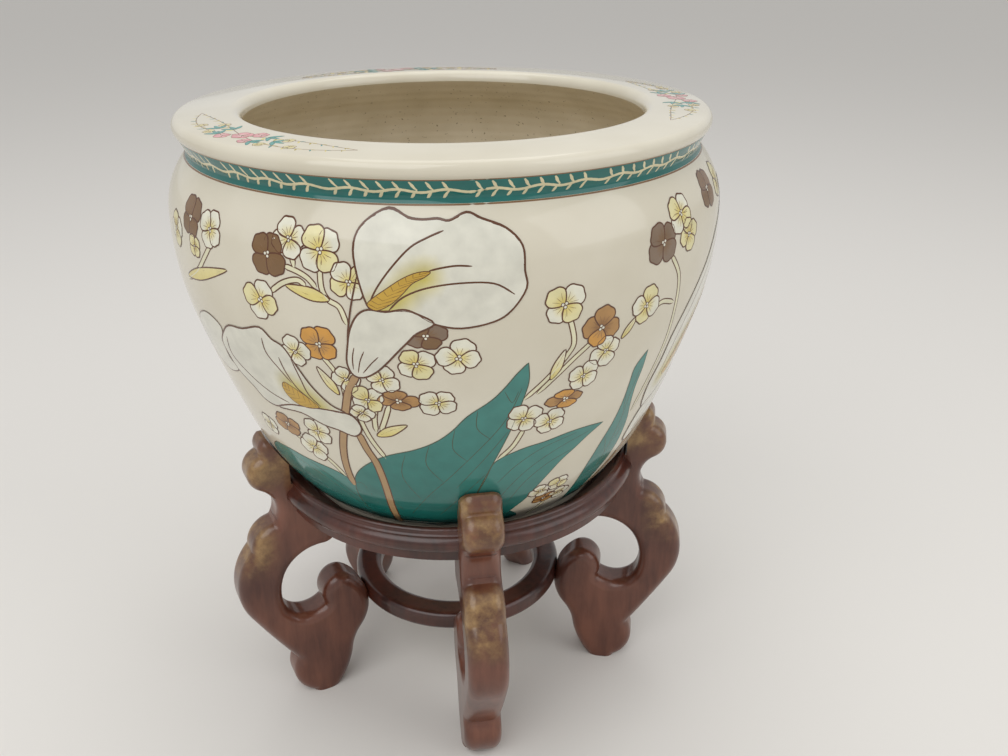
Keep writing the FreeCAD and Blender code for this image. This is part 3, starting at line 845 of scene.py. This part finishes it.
SPADIX_TWO = [
    (-34, 299), (-35.2, 303), (-37.2, 307.5), (-39.3, 311), (-41, 313),
    (-42, 309), (-41.5, 302.5), (-39.5, 297.5), (-36.5, 296.5),
]
VEINS_TWO = [
    [(-55, 333), (-56, 319), (-52, 308), (-47, 300), (-42, 296)],
    [(-43, 343), (-43, 333), (-41, 323), (-39, 314)],
    [(-40, 332), (-39.5, 322), (-38, 311), (-35.5, 304)],
    [(-37, 333), (-36.3, 320), (-35.6, 308), (-33.5, 300)],
]
TALL_SPATHE = [
    (46, 266), (43.5, 284), (45, 305), (46, 326), (50, 346), (56, 364), (62, 380), (69, 391), (77, 399),
    (83, 396), (85.5, 384), (84.5, 370), (87, 354), (84.5, 336), (79, 319), (72, 304), (63, 291), (54, 278),
]
TALL_FUNNEL = [
    (43, 244), (43.8, 256), (46, 268), (50, 273), (54, 279), (59, 283), (60, 276), (57, 264),
    (52, 252), (47, 243), (44, 240),
]
SPADIX_THREE = [
    (49.5, 290), (52.5, 303), (56, 317), (60, 329), (63.5, 337),
    (65.5, 333), (63.5, 322), (60, 309), (56, 297), (52.5, 287),
]
VEINS_THREE = [
    [(47.5, 286), (48.5, 308), (50.5, 330), (55, 350), (62, 368), (70, 380)],
    [(52, 305), (55.5, 327), (61, 346), (69, 362), (77, 372)],
    [(57, 293), (65, 308), (72, 325), (76, 345)],
    [(46, 246), (50, 258), (55, 272)],
]
STEMS = [
    [(-23.5, 330), (-26, 317), (-27.5, 304), (-29.5, 286), (-31.5, 267), (-32.5, 250), (-32.5, 232)],
    [(-26.5, 284), (-25.5, 270), (-24, 256), (-23.5, 233), (-24.5, 203), (-25, 190)],
    [(47, 246), (44, 228), (41, 208), (39, 190)],
]
# left edge, right edge, ribs; edges run from the tip down
LEAVES = [
    ([(29.5, 273), (24.5, 274.5), (19.5, 274), (14, 271), (8.5, 268), (3, 260), (1, 245),
      (-2, 220), (-4, 189)],
     [(29.5, 273), (26, 266), (23, 258), (20, 250), (17.5, 240), (15, 228), (13, 216), (10, 204), (8, 189)],
     [[(26, 270), (18, 262), (11, 248), (6, 228), (2, 200)], [(22, 272), (14, 266), (8, 254), (4, 240)],
      [(22.5, 258), (16, 250), (11, 236), (8, 218)]]),
    ([(36.5, 322), (34, 312), (34, 300), (34.2, 285), (33.5, 268), (31.5, 250), (30, 232),
      (30, 212), (31, 189)],
     [(36.5, 322), (37, 308), (37, 293), (38, 278), (39.8, 262), (40.3, 246), (39.5, 230),
      (38, 212), (38, 189)],
     [[(36.3, 312), (36, 288), (36.5, 262), (35.5, 235), (34.5, 205)], [(34.5, 290), (35.8, 276)],
      [(32.5, 258), (35.6, 240)], [(39.5, 262), (36.2, 244)]]),
    ([(-57, 247), (-51, 248), (-45, 246), (-40, 244.5), (-36, 242), (-32, 236), (-29, 232), (-27, 189)],
     [(-57, 247), (-60.5, 240), (-62.5, 228), (-61, 213), (-56, 199), (-51, 189)],
     [[(-54, 245), (-46, 238), (-39, 226), (-33, 206)], [(-45, 245), (-38, 232), (-32, 214)]]),
    ([(7.5, 336), (5.5, 329), (3.5, 320), (1, 311), (-3.5, 300), (-6.5, 289), (-10, 280), (-14.5, 273),
      (-21, 266), (-26, 257), (-30, 246), (-32, 234), (-33, 215), (-32, 189)],
     [(7.5, 336), (8, 322), (7, 305), (5.5, 286), (3.5, 268), (1, 248), (-1, 231), (-2.5, 210), (-3, 189)],
     [[(6.8, 318), (5, 300), (2.5, 286), (-1.5, 270), (-7, 250), (-13, 230), (-19, 206)],
      [(3.5, 317), (5.2, 308), (6.2, 316)], [(-1.5, 304), (-1.5, 290), (1.5, 280)],
      [(-6, 290), (-6.5, 274), (-3.5, 263)], [(-11.5, 277), (-12.5, 260), (-9, 244)],
      [(-17, 268), (-18.5, 248), (-15, 226)], [(-23, 262), (-24.5, 240), (-21, 210)],
      [(5, 285), (0, 262), (-6, 238)], [(1, 250), (-5, 228), (-11, 206)]]),
]
BASE_FIELD = [
    (-36, 212), (-32, 228), (-22, 215), (-12, 222), (-4, 214), (2, 222), (8, 208), (11, 189), (-35, 189),
]
BOTH_SIDES = (0.0, 180.0)


def paint_flowers():
    """The lilies, blossoms and leaves, once before and once behind."""
    stems, leaves, blossoms, lilies, lines = Paint(), Paint(), Paint(), Paint(), Paint()
    leaves.fill(on_side, smooth(BASE_FIELD, True, 4), DEEP_TEAL, STEM_LIFT)
    for path in TWIGS:
        paint_twig(stems, path, TWIG_WIDTH, STEM_PALE, STEM_LIFT)
    for step, (left, right, ribs) in enumerate(LEAVES):
        paint_leaf(leaves, left, right, ribs, LEAF_LIFT + OVERLAP / 3 * step)
    for path in STEMS:
        paint_twig(stems, path, STEM_WIDTH, STEM_TAN, LEAF_LIFT + OVERLAP * 1.8)
    for index, (azimuth, height, size, angle, colours, squash) in enumerate(BLOSSOMS):
        lift = BLOSSOM_LIFT + OVERLAP / 4 * (index % 5)
        paint_blossom(blossoms, lines, on_side, (azimuth, height), size, angle, colours, squash, lift)
    for base, tip in BUDS:
        paint_bud(blossoms, lines, base, tip)
    paint_lily(lilies, lines, [OPEN_SPATHE, LOW_FUNNEL], SPADIX_TWO, VEINS_TWO)
    petal = smooth(BACK_PETAL, True, 4)
    lilies.fill(on_side, petal, LILY_WHITE, LILY_LIFT - OVERLAP)
    lines.line(on_side, petal, LINE, BROWN_LINE, LILY_LIFT - OVERLAP, closed=True)
    paint_lily(lilies, lines, [TALL_SPATHE, TALL_FUNNEL], SPADIX_THREE, VEINS_THREE)
    paint_lily(lilies, lines, [HOOD, FUNNEL], SPADIX_ONE, VEINS_ONE)
    stems.piece("painted_stems", BOTH_SIDES)
    leaves.piece("painted_leaves", BOTH_SIDES)
    blossoms.piece("painted_blossoms", BOTH_SIDES)
    lilies.piece("painted_lilies", BOTH_SIDES)
    lines.piece("painted_outlines", BOTH_SIDES)


# --- neck border and rim sprays ----------------------------------------------

BAND_LOW, BAND_MIDDLE, BAND_HIGH = 426.5, 434.0, 440.4
BAND_ROWS = 8
BAND_LIFT = 0.1
BAND_SPRIGS = 126
BARE_SPRIG = 9         # every ninth pair of sprigs is left out
VINE_LIFT = 0.12
VINE_WIDTH = 1.7
VINE_WAVE = 0.9
SPRIG_WIDTH = 1.9
SPRIG_RISES = (4.9, -5.6)
SPRIG_BEND = [(0.0, 0.0), (-1.4, 0.25), (-2.4, 0.55), (-3.2, 0.8), (-4.0, 1.0)]


def paint_neck():
    """A teal band round the neck with a leafy cream vine between two thin lines."""
    band = Paint()
    paint_band(band)
    for height in (BAND_LOW, BAND_HIGH):
        circle = [(i * 360.0 / TURNS, height) for i in range(TURNS)]
        band.line(on_side, circle, LEAF_LINE, FINE_BROWN, BAND_LIFT, closed=True)
    paint_vine(band)
    band.piece("neck_border")


def paint_band(band):
    """The teal ground, let into the glaze along both edges."""
    rows = []
    for step in range(BAND_ROWS + 1):
        height = BAND_LOW + (BAND_HIGH - BAND_LOW) * step / BAND_ROWS
        lift = BAND_LIFT if 0 < step < BAND_ROWS else -BED
        rows.append([band.spot(on_side(360.0 * i / TURNS, height, lift), BAND_TEAL) for i in range(TURNS)])
    for low, high in zip(rows, rows[1:]):
        for i in range(TURNS):
            j = (i + 1) % TURNS
            band.faces.append([low[i], low[j], high[j], high[i]])


def paint_vine(band):
    """A waving stem with pairs of sprigs."""
    pitch = 360.0 / BAND_SPRIGS
    vine = [(pitch * i / 4, BAND_MIDDLE + VINE_WAVE * math.sin(math.pi * i / 6))
            for i in range(BAND_SPRIGS * 4)]
    band.line(on_side, vine, VINE_WIDTH, BAND_CREAM, VINE_LIFT, closed=True)
    for i in range(BAND_SPRIGS):
        if i % BARE_SPRIG == BARE_SPRIG - 1:
            continue
        start = (pitch * i, BAND_MIDDLE + 0.5)
        for rise in SPRIG_RISES:
            sprig = about(on_side, start, [(right, rise * share) for right, share in SPRIG_BEND])
            band.line(on_side, sprig, SPRIG_WIDTH, BAND_CREAM, VINE_LIFT)


SPRAY_AZIMUTHS = (-53.5, 84.0, 188.0)
SPRAY_LIFT = 0.05
SPRAY_TEAL = linear(70, 150, 140)
PINK_HEART = linear(232, 196, 190)
SPRAY_MIDDLE = (LIP_TOP[0] + MOUTH_TOP[0]) / 2
SPRAY_END = 30         # degrees from the spray's middle to its tips
SPRAY_STEP = 3
SPRAY_WAVE = 7
SPRAY_BEND = 9.6

# places as (degrees from the spray's middle, millimetres out from the lip's middle)
LEAF_FANS = [(5.5, 6), (6.5, -6), (10, 0)]
FAN_TURNS = (-50, 0, 50)
FAN_LEAF = 8.5
SMALL_FLOWERS = [(9, 8), (12.5, -6), (16, 5)]
SMALL_FLOWER = 3.6
ROSES = [(0, 0, 6.5), (-3.4, 7, 4.8), (3.4, -7, 4.8), (4.4, 7, 4.2)]


def paint_rim():
    """Three sprays of roses, leaves and sprigs lying along the lip."""
    spray, lines = Paint(), Paint()
    for way in (-1, 1):
        for bend in (-1, 1):
            paint_spray_stem(spray, lines, way, bend)
        paint_leaf_fans(spray, lines, way)
        for a, across in SMALL_FLOWERS:
            spot = (way * a, SPRAY_MIDDLE + across)
            paint_blossom(spray, lines, on_lip, spot, SMALL_FLOWER, a * 20, (YELLOW,), 1.0, SPRAY_LIFT, 5)
    for azimuth, across, size in ROSES:
        spot = (azimuth, SPRAY_MIDDLE + across)
        paint_blossom(spray, lines, on_lip, spot, size, 20, ((PINK, PINK_HEART),), 1.0, SPRAY_LIFT, 5)
    spray.piece("rim_sprays", SPRAY_AZIMUTHS)
    lines.piece("rim_spray_lines", SPRAY_AZIMUTHS)


def stem_place(way, bend, a):
    """A place on a spray's stem, a degrees from the spray's middle."""
    return way * a, SPRAY_MIDDLE + bend * SPRAY_WAVE * math.sin(a / SPRAY_BEND)


def paint_spray_stem(spray, lines, way, bend):
    """One stem of a spray with its pairs of small leaves, which shrink towards the tip."""
    stem = [stem_place(way, bend, a) for a in range(0, SPRAY_END + 1, SPRAY_STEP)]
    lines.line(on_lip, smooth(stem), FINE_LINE, FINE_BROWN, SPRAY_LIFT)
    for step, a in enumerate(range(SPRAY_STEP * 2, SPRAY_END, SPRAY_STEP)):
        root = stem_place(way, bend, a)
        size = 6.4 - a * 0.14
        for side in (-1, 1):
            leaf = turned(smooth(BUD, True, 3), size, 90 - way * (60 + 35 * side))
            colour = (SPRIG, TEAL, PETAL_YELLOW)[(step + side) % 3]
            spray.fill(on_lip, about(on_lip, root, leaf), colour, SPRAY_LIFT)


def paint_leaf_fans(spray, lines, way):
    """Teal leaves, three to a fan, on one side of a spray."""
    level = SPRAY_LIFT * 1.5
    for a, across in LEAF_FANS:
        for turn in FAN_TURNS:
            leaf = turned(smooth(BUD, True, 4), FAN_LEAF, 90 - way * 90 + turn)
            outline = about(on_lip, (way * a, SPRAY_MIDDLE + across), leaf)
            spray.fill(on_lip, outline, SPRAY_TEAL, level)
            lines.line(on_lip, outline, FINE_LINE * 0.7, DEEP_TEAL, level, closed=True)


# --- the studio --------------------------------------------------------------

CAMERA_AT = (-0.0725, -0.6719, 0.5633)
CAMERA_TURN = (math.radians(90 - 25.31), math.radians(0.14), math.radians(-9.56))
CAMERA_LENS = 34.8
PAPER = linear(223, 220, 215)
ROOM = 30.0            # half the floor's side, in metres
SKY = 0.62
LIT = (0.0, 0.0, 0.25)

# name, place in metres, width, power
LIGHTS = [
    ("key", (-1.1, -1.3, 2.0), 1.9, 22.0),
    ("fill", (1.6, -1.1, 1.3), 1.6, 9.0),
    ("top", (0.1, 0.5, 2.4), 1.6, 12.0),
]


def make_studio():
    """A plain pale floor under soft light."""
    paper, _, shader = material("paper", 0.9, PAPER)
    shader.inputs["Specular IOR Level"].default_value = 0.1
    mesh = bpy.data.meshes.new("floor")
    corners = [(-ROOM, -ROOM, 0.0), (ROOM, -ROOM, 0.0), (ROOM, ROOM, 0.0), (-ROOM, ROOM, 0.0)]
    mesh.from_pydata(corners, [], [(0, 1, 2, 3)])
    mesh.materials.append(paper)
    floor = bpy.data.objects.new("floor", mesh)
    bpy.context.scene.collection.objects.link(floor)

    world = bpy.data.worlds.new("studio")
    bpy.context.scene.world = world
    world.use_nodes = True
    sky = world.node_tree.nodes["Background"]
    sky.inputs["Color"].default_value = (*WHITE, 1.0)
    sky.inputs["Strength"].default_value = SKY
    for light in LIGHTS:
        add_light(*light)


def add_light(name, place, width, power):
    lamp = bpy.data.lights.new(name, "AREA")
    lamp.size = width
    lamp.energy = power
    light = bpy.data.objects.new(name, lamp)
    light.location = place
    light.rotation_euler = (Vector(LIT) - Vector(place)).to_track_quat("-Z", "Y").to_euler()
    bpy.context.scene.collection.objects.link(light)


def make_camera():
    lens = bpy.data.cameras.new("camera")
    lens.lens = CAMERA_LENS
    camera = bpy.data.objects.new("camera", lens)
    camera.location = CAMERA_AT
    camera.rotation_euler = CAMERA_TURN
    bpy.context.scene.collection.objects.link(camera)
    bpy.context.scene.camera = camera


make_bowl()
dress_stand()
paint_flowers()
paint_neck()
paint_rim()
make_studio()
make_camera()
bpy.context.scene.view_settings.view_transform = "Standard"
